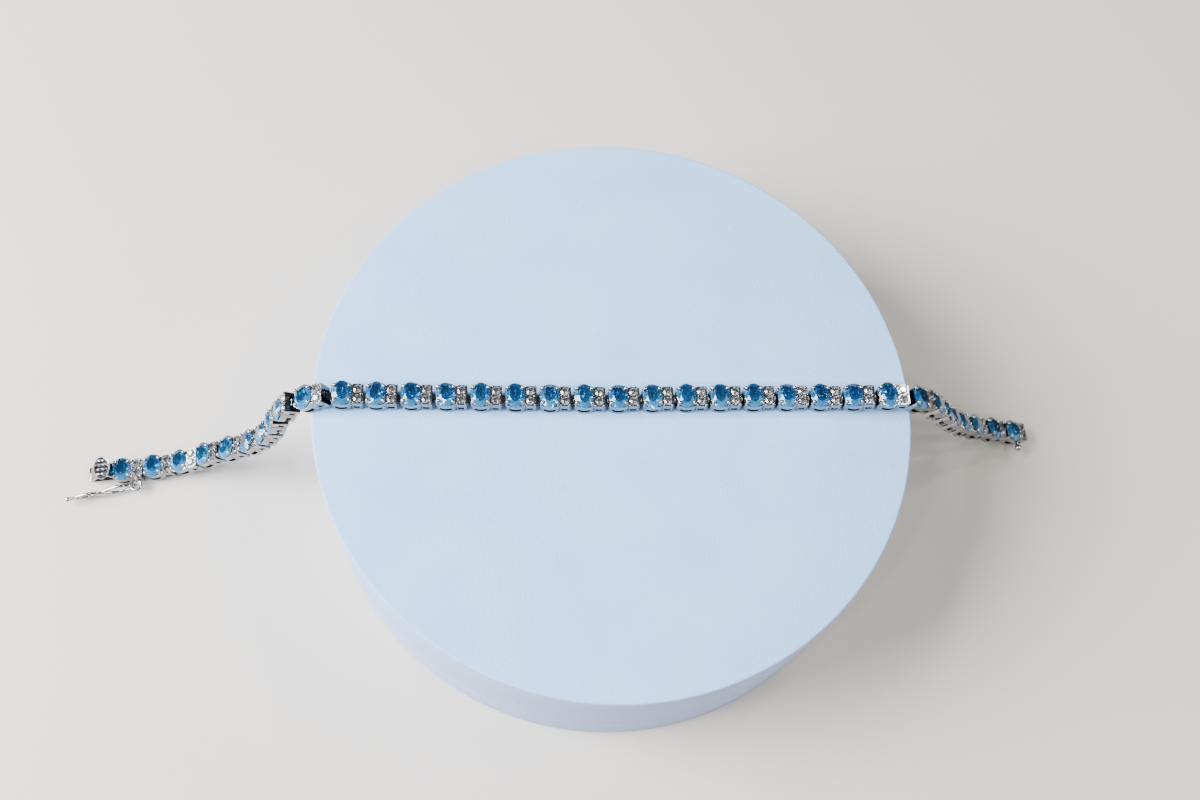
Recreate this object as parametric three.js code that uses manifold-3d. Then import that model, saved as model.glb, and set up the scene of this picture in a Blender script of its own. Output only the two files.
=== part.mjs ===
// Tennis bracelet lying open across a low round display plinth.
// Millimetres, +Z up, origin at the middle of the plinth's underside, bracelet along X.
// Every link is a cast basket with one oval stone and a pair of small round stones.
// A lug on each link turns on the cross pin of the link before it.

import * as THREE from 'three';
import { mergeVertices } from 'three/addons/utils/BufferGeometryUtils.js';
import Module from 'manifold-3d';

const wasm = await Module();
wasm.setup();

// Plinth
const plinthRadius = 46.2;
const plinthHeight = 27.6;
const plinthEdgeRadius = 0.7;
const plinthSides = 64;
const plinthEdgeSteps = 2;

// Chain
const linkCount = 35;
const middleLink = 18;
const linkPitch = 5.22;
const linkGap = 0.47;
const restGap = 0.06;

// Stones
const ovalLength = 3.0;
const ovalWidth = 4.0;
const ovalCrown = 0.5;
const ovalTable = 0.6;
const ovalFacets = 10;
const roundDiameter = 1.45;
const roundCrown = 0.32;
const roundTable = 0.56;
const roundFacets = 8;
const girdleThickness = 0.14;
const stoneSpacing = 0.1;
const endMargin = 0.04;
const stoneBedding = 0.2;

// Basket of a link
const railHeight = 2.45;
const pairWidth = 3.25;
const bulgeWidth = 3.85;
const bulgeFlat = 2.0;
const endWidth = 2.7;
const wallThickness = 0.5;
const footInset = 0.16;
const seatThickness = 0.5;
const slotFloor = 0.62;
const slotHeight = 0.76;
const slotLength = 1.75;

// Prongs
const prongThickness = 0.38;
const prongAngle = THREE.MathUtils.degToRad(37);
const prongStandProud = 0.1;
const prongClearance = 0.02;

// Hinge between links
const pinRadius = 0.3;
const pinHeight = 0.95;
const pinSides = 6;
const eyeClearance = 0.25;
const eyeWall = 0.33;
const eyeSides = 8;
const lugWidth = 1.0;
const lugHeight = 0.8;
const lugSideClearance = 0.32;

// Box clasp: tongue on the first link, box in the last
const tongueWidth = 2.4;
const tongueLength = 4.0;
const tongueThickness = 0.4;
const tongueFloor = 0.55;
const leafRise = 3.2;
const leafThickness = 0.35;
const leafReturn = 2.75;
const leafTail = 1.15;
const leafTailDrop = 1.5;
const boxSideClearance = 0.1;
const thumbLength = 2.6;
const thumbWidth = 3.9;
const thumbThickness = 0.7;
const thumbSides = 12;
const thumbRibs = 4;
const thumbRibHeight = 0.22;
const thumbRibShare = 0.55;
const thumbRibReach = 0.94;

// Safety catch: a figure-eight of wire that turns in a ring on the first link
const wireRadius = 0.27;
const wireSides = 5;
const ringClearance = 0.3;
const ringWireRadius = 0.22;
const ringSteps = 10;
const ringHeight = 1.4;
const ringStandOff = 1.1;
const ringShift = -0.2;
const stemRadius = 0.25;
const catchLength = 11.1;
const catchWaist = 0.465;
const catchNeck = 0.91;
const catchLoopSteps = 12;
const catchLoopFullness = 0.7;
const hingeLoopHalfHeight = 0.86;
const snapLoopHalfHeight = 0.95;
const knobRadius = 0.45;
const catchOpen = THREE.MathUtils.degToRad(7);

// Ball post on the last link, which the figure-eight snaps over
const ballRadius = 0.6;
const ballStandOff = 0.85;
const postRadius = 0.26;
const ballSides = 10;
const ballRings = 5;

// Where the chain runs to the left and right of its middle, as shares of the plinth's height:
// out from the rim, up from the table, and sideways towards +Y.
const chainRoute = {
  left: [
    { out: -0.250, up: 1.000, side: -0.006 },
    { out: -0.063, up: 1.025, side: -0.011 },
    { out: 0.105, up: 0.938, side: -0.023 },
    { out: 0.190, up: 0.769, side: -0.029 },
    { out: 0.251, up: 0.590, side: -0.033 },
    { out: 0.350, up: 0.429, side: -0.039 },
    { out: 0.490, up: 0.302, side: -0.039 },
    { out: 0.648, up: 0.197, side: -0.038 },
    { out: 0.806, up: 0.094, side: -0.045 },
    { out: 0.980, up: 0.021, side: -0.062 },
    { out: 1.167, up: 0.001, side: -0.082 },
    { out: 6.000, up: 0.001, side: -0.550 },
  ],
  right: [
    { out: -0.635, up: 1.000, side: -0.004 },
    { out: -0.447, up: 1.008, side: -0.008 },
    { out: -0.260, up: 1.032, side: -0.012 },
    { out: -0.071, up: 1.034, side: -0.009 },
    { out: 0.093, up: 0.941, side: 0.004 },
    { out: 0.205, up: 0.790, side: 0.021 },
    { out: 0.305, up: 0.631, side: 0.042 },
    { out: 0.411, up: 0.476, side: 0.066 },
    { out: 0.535, up: 0.334, side: 0.095 },
    { out: 0.683, up: 0.215, side: 0.123 },
    { out: 0.846, up: 0.112, side: 0.143 },
    { out: 1.018, up: 0.030, side: 0.158 },
    { out: 6.000, up: 0.030, side: 0.550 },
  ],
};
const middleShift = -0.098;
const middleSway = -0.018;
const walkHalvings = 40;
const weldTolerance = 1e-4;

// Sizes worked out from those above
const linkLength = linkPitch - linkGap;
const ovalCentre = -linkLength / 2 + endMargin + ovalLength / 2;
const ovalEnd = ovalCentre + ovalLength / 2;
const pairCentre = ovalCentre + (ovalLength + roundDiameter) / 2 + stoneSpacing;
const pinPlace = pairCentre;
const eyeHoleRadius = pinRadius + eyeClearance;
const eyeRadius = eyeHoleRadius + eyeWall;
const pocketWidth = lugWidth + 2 * lugSideClearance;
const hollowHeight = railHeight - seatThickness;
const boxWidth = tongueWidth + 2 * boxSideClearance;
const ringRadius = wireRadius + ringClearance + ringWireRadius;
const hingePlaceX = pairCentre + ringShift;
const hingePlaceY = -(pairWidth / 2 + ringStandOff);

// Geometry to solid and back

function solid(geometry) {
  const bare = geometry.clone();
  bare.deleteAttribute('normal');
  bare.deleteAttribute('uv');
  const merged = mergeVertices(bare, weldTolerance);
  const index = merged.getIndex().array;
  const kept = [];
  for (let i = 0; i < index.length; i += 3) {
    const [a, b, c] = [index[i], index[i + 1], index[i + 2]];
    if (a !== b && b !== c && c !== a) kept.push(a, b, c);
  }
  return new wasm.Manifold(new wasm.Mesh({
    numProp: 3,
    vertProperties: new Float32Array(merged.getAttribute('position').array),
    triVerts: new Uint32Array(kept),
  }));
}

function geometryOf(body) {
  const mesh = body.getMesh();
  const geometry = new THREE.BufferGeometry();
  geometry.setAttribute('position', new THREE.BufferAttribute(mesh.vertProperties, 3));
  geometry.setIndex(new THREE.BufferAttribute(mesh.triVerts, 1));
  geometry.computeVertexNormals();
  return geometry;
}

function join(bodies) {
  return bodies.reduce((whole, body) => whole.add(body));
}

// Basic shapes, each standing on z = 0 and centred on x = y = 0

function upright(radiusFoot, radiusHead, height, sides) {
  const geometry = new THREE.CylinderGeometry(radiusHead, radiusFoot, height, sides);
  geometry.rotateX(Math.PI / 2);
  geometry.translate(0, 0, height / 2);
  return geometry;
}

function across(radius, width, sides) {
  return new THREE.CylinderGeometry(radius, radius, width, sides);
}

function block(length, width, height) {
  const geometry = new THREE.BoxGeometry(length, width, height);
  geometry.translate(0, 0, height / 2);
  return geometry;
}

// Draws the foot of a shape in, so that its walls taper
function taperFoot(geometry, height, length, width, inset) {
  const place = geometry.getAttribute('position');
  for (let i = 0; i < place.count; i += 1) {
    const share = 1 - place.getZ(i) / height;
    place.setX(i, place.getX(i) * (1 - share * 2 * inset / length));
    place.setY(i, place.getY(i) * (1 - share * 2 * inset / width));
  }
  return geometry;
}

// A cut stone from its bedding in the metal up: girdle, a row of crown facets, table
function cutStone(length, width, crown, table, facets, girdle) {
  const profile = [
    new THREE.Vector2(0, -stoneBedding),
    new THREE.Vector2(0.5, -stoneBedding),
    new THREE.Vector2(0.5, girdle),
    new THREE.Vector2(0.5 * table, girdle + crown),
    new THREE.Vector2(0, girdle + crown),
  ];
  const geometry = new THREE.LatheGeometry(profile, facets);
  geometry.rotateX(Math.PI / 2);
  geometry.scale(length, width, 1);
  geometry.translate(0, 0, railHeight);
  return geometry;
}

// Parts of a link

// A plan that is mirrored across the chain, from half of its corners
function mirroredShape(half) {
  const other = half.map(([x, y]) => [x, -y]).reverse();
  return new THREE.Shape([...half, ...other].map(([x, y]) => new THREE.Vector2(x, y)));
}

// Narrow end, bulge round the oval stone, straight sides along the pair
function basket() {
  const plan = mirroredShape([
    [-linkLength / 2, endWidth / 2],
    [ovalCentre - bulgeFlat / 2, bulgeWidth / 2],
    [ovalCentre + bulgeFlat / 2, bulgeWidth / 2],
    [ovalEnd, pairWidth / 2],
    [linkLength / 2, pairWidth / 2],
  ]);
  const walls = new THREE.ExtrudeGeometry(plan, { depth: railHeight, bevelEnabled: false });
  return solid(taperFoot(walls, railHeight, linkLength, bulgeWidth, footInset));
}

// The space under the stones, open below and at the pair's end
function hollow(pairSpace) {
  const plan = mirroredShape([
    [-linkLength / 2 + wallThickness, bulgeWidth / 2 - wallThickness],
    [ovalCentre + bulgeFlat / 2, bulgeWidth / 2 - wallThickness],
    [ovalEnd - wallThickness / 2, pairSpace / 2],
    [linkLength / 2 + wallThickness, pairSpace / 2],
  ]);
  const depth = hollowHeight + wallThickness;
  const space = new THREE.ExtrudeGeometry(plan, { depth, bevelEnabled: false });
  space.translate(0, 0, -wallThickness);
  return solid(space);
}

function sideSlot() {
  const slot = block(slotLength, 2 * bulgeWidth, slotHeight);
  slot.translate(ovalCentre, 0, slotFloor);
  return solid(slot);
}

function ovalStone() {
  const stone = cutStone(ovalLength, ovalWidth, ovalCrown, ovalTable, ovalFacets,
    girdleThickness);
  stone.translate(ovalCentre, 0, 0);
  return solid(stone);
}

// The pair lies in drilled seats, so its girdles are level with the metal
function roundStones() {
  return [-1, 1].map((side) => {
    const stone = cutStone(roundDiameter, roundDiameter, roundCrown, roundTable,
      roundFacets, 0);
    stone.translate(pairCentre, side * (roundDiameter + stoneSpacing) / 2, 0);
    return solid(stone);
  });
}

// Four posts at the corners of the oval stone, each just clear of its girdle
function prongs() {
  const height = girdleThickness + ovalCrown + prongStandProud;
  const made = [];
  for (const alongSide of [-1, 1]) {
    for (const acrossSide of [-1, 1]) {
      const place = new THREE.Vector2(
        alongSide * ovalLength / 2 * Math.cos(prongAngle),
        acrossSide * ovalWidth / 2 * Math.sin(prongAngle),
      );
      const outward = new THREE.Vector2(
        place.x / ovalLength ** 2,
        place.y / ovalWidth ** 2,
      ).normalize();
      place.addScaledVector(outward, prongThickness / 2 + prongClearance);
      const prong = block(prongThickness, prongThickness, height);
      prong.rotateZ(outward.angle());
      prong.translate(ovalCentre + place.x, place.y, railHeight);
      made.push(solid(prong));
    }
  }
  return made;
}

function crossPin() {
  const pin = across(pinRadius, pocketWidth + wallThickness, pinSides);
  pin.translate(pinPlace, 0, pinHeight);
  return solid(pin);
}

// The lug reaches back to the pin of the link before and has an eye round it
function lug() {
  const eyePlace = pinPlace - linkPitch;
  const wallPlace = (wallThickness - linkLength) / 2;
  const shoulder = Math.asin(lugHeight / 2 / eyeRadius);
  const outline = new THREE.Shape();
  outline.absarc(eyePlace, 0, eyeRadius, shoulder, 2 * Math.PI - shoulder, false);
  outline.lineTo(wallPlace, -lugHeight / 2);
  outline.lineTo(wallPlace, lugHeight / 2);
  const hole = new THREE.Path();
  hole.absarc(eyePlace, 0, eyeHoleRadius, 0, 2 * Math.PI, true);
  outline.holes.push(hole);
  const plate = new THREE.ExtrudeGeometry(outline, {
    depth: lugWidth,
    bevelEnabled: false,
    curveSegments: eyeSides / 2,
  });
  plate.rotateX(Math.PI / 2);
  plate.translate(0, lugWidth / 2, pinHeight);
  return solid(plate);
}

function settings() {
  return [ovalStone(), ...roundStones(), ...prongs()];
}

function openBasket(pairSpace) {
  return basket().subtract(hollow(pairSpace)).subtract(sideSlot());
}

// Spring tongue: a plate out from the first link, folded at its tip into a rising leaf
function tongue() {
  const root = (wallThickness - linkLength) / 2;
  const tip = -linkLength / 2 - tongueLength;
  const plate = block(root - tip, tongueWidth, tongueThickness);
  plate.translate((root + tip) / 2, 0, tongueFloor);
  const leaf = new THREE.Shape();
  const start = tongueFloor + tongueThickness / 2;
  const crest = tip + leafReturn;
  leaf.moveTo(tip, start);
  leaf.lineTo(tip + leafThickness, start);
  leaf.lineTo(crest, start + leafRise - leafThickness);
  leaf.lineTo(crest + leafTail, start + leafRise - leafTailDrop - leafThickness);
  leaf.lineTo(crest + leafTail, start + leafRise - leafTailDrop);
  leaf.lineTo(crest, start + leafRise);
  const strip = new THREE.ExtrudeGeometry(leaf, { depth: tongueWidth, bevelEnabled: false });
  strip.rotateX(Math.PI / 2);
  strip.translate(0, tongueWidth / 2, 0);
  return join([solid(plate), solid(strip), thumbPiece(crest, start + leafRise)]);
}

// Oval thumb piece with ribs across it, seated on the leaf's crest
function thumbPiece(place, seat) {
  const pad = upright(0.5, 0.5, thumbThickness, thumbSides);
  pad.scale(thumbLength, thumbWidth, 1);
  pad.translate(place, 0, seat - leafThickness);
  const ribPitch = thumbWidth / (thumbRibs + 1);
  const ribs = [];
  for (let i = 1; i <= thumbRibs; i += 1) {
    const offset = i * ribPitch - thumbWidth / 2;
    const chord = thumbLength * Math.sqrt(1 - (2 * offset / thumbWidth) ** 2);
    const rib = block(chord * thumbRibReach, ribPitch * thumbRibShare, thumbThickness);
    rib.translate(place, offset, seat - leafThickness + thumbRibHeight);
    ribs.push(solid(rib));
  }
  return join([solid(pad), ...ribs]);
}

// Ring soldered to the first link's side, in which the safety catch turns
function catchRing() {
  const ring = new THREE.TorusGeometry(ringRadius, ringWireRadius, wireSides, ringSteps);
  ring.translate(hingePlaceX, hingePlaceY, ringHeight);
  const reach = ringStandOff - ringRadius + wallThickness;
  const stem = across(stemRadius, reach, wireSides);
  stem.translate(hingePlaceX, hingePlaceY + ringRadius + reach / 2, ringHeight);
  return join([solid(ring), solid(stem)]);
}

function ballPost() {
  const out = -(bulgeWidth / 2 + ballStandOff);
  const ball = new THREE.SphereGeometry(ballRadius, ballSides, ballRings);
  ball.translate(ovalEnd, out, ringHeight);
  const reach = ballStandOff + wallThickness;
  const post = across(postRadius, reach, wireSides);
  post.translate(ovalEnd, out + reach / 2, ringHeight);
  return join([solid(ball), solid(post)]);
}

function middleLinkBody() {
  return join([openBasket(pocketWidth), lug(), crossPin(), ...settings()]);
}

function tongueLinkBody() {
  return join([openBasket(pocketWidth), tongue(), crossPin(), catchRing(),
    ...settings()]);
}

function boxLinkBody() {
  return join([openBasket(boxWidth), lug(), ballPost(), ...settings()]);
}

// Closed loop of wire in the XZ plane, from one end of the figure-eight's half to the other
function wireLoop(from, to, halfHeight) {
  const middle = (from + to) / 2;
  const halfLength = Math.abs(to - from) / 2;
  const outline = [];
  for (let i = 0; i < catchLoopSteps; i += 1) {
    const angle = 2 * Math.PI * i / catchLoopSteps;
    const rise = Math.abs(Math.sin(angle)) ** catchLoopFullness;
    outline.push(new THREE.Vector3(
      middle + halfLength * Math.cos(angle),
      0,
      halfHeight * rise * Math.sign(Math.sin(angle)),
    ));
  }
  const path = new THREE.CatmullRomCurve3(outline, true);
  return new THREE.TubeGeometry(path, catchLoopSteps, wireRadius, wireSides, true);
}

// The catch hangs along -X from its turning axis, which is the origin here
function safetyCatchBody() {
  const waist = -catchLength * catchWaist;
  const neck = -catchLength * catchNeck;
  const hingeLoop = wireLoop(0, waist - wireRadius, hingeLoopHalfHeight);
  const snapLoop = wireLoop(waist + wireRadius, neck, snapLoopHalfHeight);
  const neckLength = catchLength * (1 - catchNeck);
  const neckWire = upright(wireRadius, wireRadius, neckLength, wireSides);
  neckWire.rotateY(-Math.PI / 2);
  neckWire.translate(neck, 0, 0);
  const knob = new THREE.SphereGeometry(knobRadius, ballSides, ballRings);
  knob.translate(-catchLength, 0, 0);
  return join([hingeLoop, snapLoop, neckWire, knob].map(solid));
}

function plinthGeometry() {
  const profile = [new THREE.Vector2(0, 0), new THREE.Vector2(plinthRadius, 0)];
  for (let i = 0; i <= plinthEdgeSteps; i += 1) {
    const angle = i / plinthEdgeSteps * Math.PI / 2;
    profile.push(new THREE.Vector2(
      plinthRadius - plinthEdgeRadius * (1 - Math.cos(angle)),
      plinthHeight - plinthEdgeRadius * (1 - Math.sin(angle)),
    ));
  }
  profile.push(new THREE.Vector2(0, plinthHeight));
  const geometry = new THREE.LatheGeometry(profile, plinthSides);
  geometry.rotateX(Math.PI / 2);
  return geometry;
}

// The chain's route: straight over the plinth, then down each drape

function routePoint(row, direction) {
  return new THREE.Vector3(
    direction * (plinthRadius + row.out * plinthHeight),
    row.side * plinthHeight,
    row.up * plinthHeight + restGap + pinHeight,
  );
}

// Walks from point to point in steps of one pitch, measured straight from pin to pin
function walk(points, count) {
  const steps = [points[0]];
  let leg = 0;
  let share = 0;
  while (steps.length <= count) {
    const last = steps[steps.length - 1];
    while (points[leg + 1].distanceTo(last) < linkPitch) {
      leg += 1;
      share = 0;
    }
    let near = share;
    share = 1;
    for (let halving = 0; halving < walkHalvings; halving += 1) {
      const trial = (near + share) / 2;
      const place = points[leg].clone().lerp(points[leg + 1], trial);
      if (place.distanceTo(last) < linkPitch) near = trial;
      else share = trial;
    }
    steps.push(points[leg].clone().lerp(points[leg + 1], share));
  }
  return steps;
}

function chainPins() {
  const middle = new THREE.Vector3(
    middleShift * plinthHeight,
    middleSway * plinthHeight,
    plinthHeight + restGap + pinHeight,
  );
  const left = [middle, ...chainRoute.left.map((row) => routePoint(row, -1))];
  const right = [middle, ...chainRoute.right.map((row) => routePoint(row, 1))];
  const leftPins = walk(left, middleLink);
  const rightPins = walk(right, linkCount - middleLink);
  return [...leftPins.slice(1).reverse(), ...rightPins];
}

// A link's frame has its X from one pin to the next and its Y level
function linkMatrix(fromPin, toPin) {
  const x = toPin.clone().sub(fromPin).normalize();
  const y = new THREE.Vector3(0, 0, 1).cross(x).normalize();
  const z = x.clone().cross(y);
  const origin = toPin.clone()
    .addScaledVector(x, -pinPlace)
    .addScaledVector(z, -pinHeight);
  return new THREE.Matrix4().makeBasis(x, y, z).setPosition(origin);
}

// Materials

function silver() {
  return new THREE.MeshStandardMaterial({ color: '#c9ccd0', roughness: 0.18, metalness: 1 });
}

function setLink() {
  return new THREE.MeshStandardMaterial({ color: '#8fb4cf', roughness: 0.15, metalness: 0.6 });
}

function plaster() {
  return new THREE.MeshStandardMaterial({ color: '#cbdceb', roughness: 0.9, metalness: 0 });
}

// Assembly

const assembly = new THREE.Group();

const plinth = new THREE.Mesh(plinthGeometry(), plaster());
plinth.name = 'plinth';
assembly.add(plinth);

const middleShape = geometryOf(middleLinkBody());
const firstShape = geometryOf(tongueLinkBody());
const lastShape = geometryOf(boxLinkBody());
const pins = chainPins();

function addLink(number, geometry, name) {
  const mesh = new THREE.Mesh(geometry, setLink());
  mesh.name = name;
  mesh.applyMatrix4(linkMatrix(pins[number - 1], pins[number]));
  assembly.add(mesh);
  return mesh;
}

const firstLink = addLink(1, firstShape, 'clasp_tongue_link');
for (let number = 2; number < linkCount; number += 1) {
  addLink(number, middleShape.clone(), `link_${String(number).padStart(2, '0')}`);
}
addLink(linkCount, lastShape, 'clasp_box_link');

const catchPlace = new THREE.Matrix4()
  .makeTranslation(hingePlaceX, hingePlaceY, ringHeight)
  .multiply(new THREE.Matrix4().makeRotationZ(catchOpen));
const safetyCatch = new THREE.Mesh(geometryOf(safetyCatchBody()), silver());
safetyCatch.name = 'safety_catch';
safetyCatch.applyMatrix4(firstLink.matrix.clone().multiply(catchPlace));
assembly.add(safetyCatch);

export default assembly;
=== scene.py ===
# %% [markdown]
# # A tennis bracelet draped over a round plinth
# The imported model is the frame: it says where every link lies. This lesson dresses it. The links are
# cast silver baskets that all have the same shape, so one of each part is made in mesh code and
# Geometry Nodes set it on every link of the chain. All shapes are made in millimetres in the frame of
# one link and turned to metres when they become a mesh. All sizes below are in millimetres.

import math
import random

import bmesh
import bpy
from mathutils import Matrix, Vector


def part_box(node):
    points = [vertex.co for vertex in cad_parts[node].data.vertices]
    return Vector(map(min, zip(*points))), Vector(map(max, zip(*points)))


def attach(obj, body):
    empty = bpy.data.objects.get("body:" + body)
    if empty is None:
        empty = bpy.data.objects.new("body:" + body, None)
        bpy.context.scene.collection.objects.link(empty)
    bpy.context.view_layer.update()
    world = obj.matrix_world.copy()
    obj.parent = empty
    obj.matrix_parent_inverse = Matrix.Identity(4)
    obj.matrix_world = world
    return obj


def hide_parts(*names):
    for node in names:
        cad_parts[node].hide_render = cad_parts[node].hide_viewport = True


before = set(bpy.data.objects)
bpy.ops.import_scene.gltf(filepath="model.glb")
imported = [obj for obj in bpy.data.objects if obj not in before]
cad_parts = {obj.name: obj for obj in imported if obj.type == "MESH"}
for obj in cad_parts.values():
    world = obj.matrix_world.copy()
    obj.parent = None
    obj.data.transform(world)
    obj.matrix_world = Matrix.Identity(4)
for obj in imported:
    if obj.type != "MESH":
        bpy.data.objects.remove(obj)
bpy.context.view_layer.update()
MM = 0.001
ROOT = "bracelet_on_plinth"

# %% [markdown]
# ## Helpers
# Colours are picked as sRGB hex values, as a painter's chart gives them, and turned to linear light by
# one function. One more function adds a node and connects it, for shader and geometry trees alike.

# %% Colour and node helpers


def colour(code):
    """Linear RGBA from an sRGB hex code such as '#cbdced'."""
    parts = [int(code[i:i + 2], 16) / 255 for i in (1, 3, 5)]
    return [((p + 0.055) / 1.055) ** 2.4 if p > 0.04045 else p / 12.92 for p in parts] + [1.0]


def add(tree, kind, settings=None, inputs=None):
    """A new node of that kind. An input is a socket to link from, or a constant."""
    node = tree.nodes.new(kind)
    for name, value in (settings or {}).items():
        setattr(node, name, value)
    for name, value in (inputs or {}).items():
        if isinstance(value, bpy.types.NodeSocket):
            tree.links.new(value, node.inputs[name])
        else:
            node.inputs[name].default_value = value
    return node


def start_material(name, constants):
    """An empty material with a Principled shader and its output."""
    material = bpy.data.materials.new(name)
    material.use_nodes = True
    tree = material.node_tree
    tree.nodes.clear()
    shader = add(tree, "ShaderNodeBsdfPrincipled", inputs=constants)
    add(tree, "ShaderNodeOutputMaterial", inputs={"Surface": shader.outputs[0]})
    return material, tree, shader


# %% Mesh helpers


SMOOTH_BELOW = 35
MERGE_DISTANCE = 1e-4


def finished_object(bm, name, smooth_below=SMOOTH_BELOW):
    """A bmesh in millimetres becomes an object in metres at the origin, smooth below an angle."""
    bmesh.ops.remove_doubles(bm, verts=bm.verts, dist=MERGE_DISTANCE)
    bmesh.ops.recalc_face_normals(bm, faces=bm.faces)
    bmesh.ops.scale(bm, vec=(MM, MM, MM), verts=bm.verts)
    mesh = bpy.data.meshes.new(name)
    bm.to_mesh(mesh)
    bm.free()
    if smooth_below:
        mesh.shade_smooth()
        mesh.set_sharp_from_angle(angle=math.radians(smooth_below))
    made = bpy.data.objects.new(name, mesh)
    bpy.context.scene.collection.objects.link(made)
    return made


def plain_mesh(obj, smooth_below=SMOOTH_BELOW):
    """Applies all of an object's modifiers, so that only a plain mesh is left."""
    graph = bpy.context.evaluated_depsgraph_get()
    mesh = bpy.data.meshes.new_from_object(obj.evaluated_get(graph))
    mesh.name = obj.name
    obj.modifiers.clear()
    obj.data = mesh
    if smooth_below:
        mesh.shade_smooth()
        mesh.set_sharp_from_angle(angle=math.radians(smooth_below))
    return obj


def mark_faces(obj, name, share):
    """Keeps a share from 0 to 1 on each face, from share(centre in millimetres, normal)."""
    marks = obj.data.attributes.new(name, "FLOAT", "FACE")
    marks.data.foreach_set("value", [float(share(face.center / MM, face.normal))
                                     for face in obj.data.polygons])


def tube(bm, start, end, radius, sides):
    """A round bar between two points, in a bmesh."""
    along = Vector(end) - Vector(start)
    turn = along.to_track_quat("Z", "Y").to_matrix().to_4x4()
    place = Matrix.Translation((Vector(start) + Vector(end)) / 2) @ turn
    bmesh.ops.create_cone(bm, cap_ends=True, segments=sides, radius1=radius, radius2=radius,
                          depth=along.length, matrix=place)


def bead(bm, centre, radius, flat, sides, rings):
    """A small ball, flattened along Z by a share."""
    place = Matrix.Translation(centre) @ Matrix.Diagonal((1, 1, flat, 1))
    bmesh.ops.create_uvsphere(bm, u_segments=sides, v_segments=rings, radius=radius, matrix=place)


# %% [markdown]
# ## Where the links lie
# On the real bracelet each link turns on the cross pin of the link before it, so the pins are a fixed
# pitch apart along the chain. The route has a few chosen points, as shares of the plinth's height, and
# the pins are found by stepping one pitch at a time along it. The middles of the frame's own link boxes
# then show how closely the steps follow the frame.

# %% Plinth, chain and route sizes, in millimetres
PLINTH_RADIUS = 46.2
PLINTH_HEIGHT = 27.6
LINKS = 35
MIDDLE_LINK = 18
PITCH = 5.22
LINK_GAP = 0.47
LINK_LENGTH = PITCH - LINK_GAP
REST_GAP = 0.06
PIN_HEIGHT = 0.95
OVAL_LENGTH = 3.0
OVAL_WIDTH = 4.0
ROUND_DIAMETER = 1.45
STONE_SPACING = 0.1
OVAL_INSET = 0.04
OVAL_X = -LINK_LENGTH / 2 + OVAL_INSET + OVAL_LENGTH / 2
OVAL_END = OVAL_X + OVAL_LENGTH / 2
PAIR_X = OVAL_X + (OVAL_LENGTH + ROUND_DIAMETER) / 2 + STONE_SPACING
PAIR_Y = (ROUND_DIAMETER + STONE_SPACING) / 2
DECK = 2.45
HALVINGS = 40

# Each row: out from the rim, up from the table, sideways
ROUTE_LEFT = [
    (-0.250, 1.000, -0.006), (-0.063, 1.025, -0.011), (0.105, 0.938, -0.023), (0.190, 0.769, -0.029),
    (0.251, 0.590, -0.033), (0.350, 0.429, -0.039), (0.490, 0.302, -0.039), (0.648, 0.197, -0.038),
    (0.806, 0.094, -0.045), (0.980, 0.021, -0.062), (1.167, 0.001, -0.082), (6.000, 0.001, -0.550),
]
ROUTE_RIGHT = [
    (-0.635, 1.000, -0.004), (-0.447, 1.008, -0.008), (-0.260, 1.032, -0.012), (-0.071, 1.034, -0.009),
    (0.093, 0.941, 0.004), (0.205, 0.790, 0.021), (0.305, 0.631, 0.042), (0.411, 0.476, 0.066),
    (0.535, 0.334, 0.095), (0.683, 0.215, 0.123), (0.846, 0.112, 0.143), (1.018, 0.030, 0.158),
    (6.000, 0.030, 0.550),
]
ROUTE_MIDDLE = (-0.098, -0.018)

# %% Step along the route from pin to pin


def route_point(row, direction):
    """A pin's place from a row of the route, to the left or to the right."""
    out, up, side = row
    return Vector((direction * (PLINTH_RADIUS + out * PLINTH_HEIGHT), side * PLINTH_HEIGHT,
                   up * PLINTH_HEIGHT + REST_GAP + PIN_HEIGHT))


def walk(points, count):
    """Steps of one pitch from the first point, found on each leg by halving."""
    steps = [points[0]]
    leg, far = 0, 0.0
    while len(steps) <= count:
        last = steps[-1]
        while (points[leg + 1] - last).length < PITCH:
            leg += 1
            far = 0.0
        near, far = far, 1.0
        for _ in range(HALVINGS):
            trial = (near + far) / 2
            if (points[leg].lerp(points[leg + 1], trial) - last).length < PITCH:
                near = trial
            else:
                far = trial
        steps.append(points[leg].lerp(points[leg + 1], far))
    return steps


def link_matrix(from_pin, to_pin):
    """A link's frame has its X from one pin to the next and its Y level."""
    x = (to_pin - from_pin).normalized()
    y = Vector((0, 0, 1)).cross(x).normalized()
    z = x.cross(y)
    origin = to_pin - PAIR_X * x - PIN_HEIGHT * z
    return Matrix.Translation(origin) @ Matrix((x, y, z)).transposed().to_4x4()


middle = Vector((ROUTE_MIDDLE[0] * PLINTH_HEIGHT, ROUTE_MIDDLE[1] * PLINTH_HEIGHT,
                 PLINTH_HEIGHT + REST_GAP + PIN_HEIGHT))
left_pins = walk([middle] + [route_point(row, -1) for row in ROUTE_LEFT], MIDDLE_LINK)
right_pins = walk([middle] + [route_point(row, 1) for row in ROUTE_RIGHT], LINKS - MIDDLE_LINK)
pins = left_pins[:0:-1] + right_pins
link_places = [link_matrix(pins[i], pins[i + 1]) for i in range(LINKS)]
LINK_NODES = ["clasp_tongue_link"] + [f"link_{n:02d}" for n in range(2, LINKS)] + ["clasp_box_link"]

drift = 0.0
for name, place in zip(LINK_NODES[1:-1], link_places[1:-1]):
    low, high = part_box(name)
    across_middle = (place @ Vector((0, 0, 0))).y
    drift = max(drift, abs((low.y + high.y) / 2 / MM - across_middle))
print("links:", len(link_places), "largest sideways drift from the frame in mm:", round(drift, 3))

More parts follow.
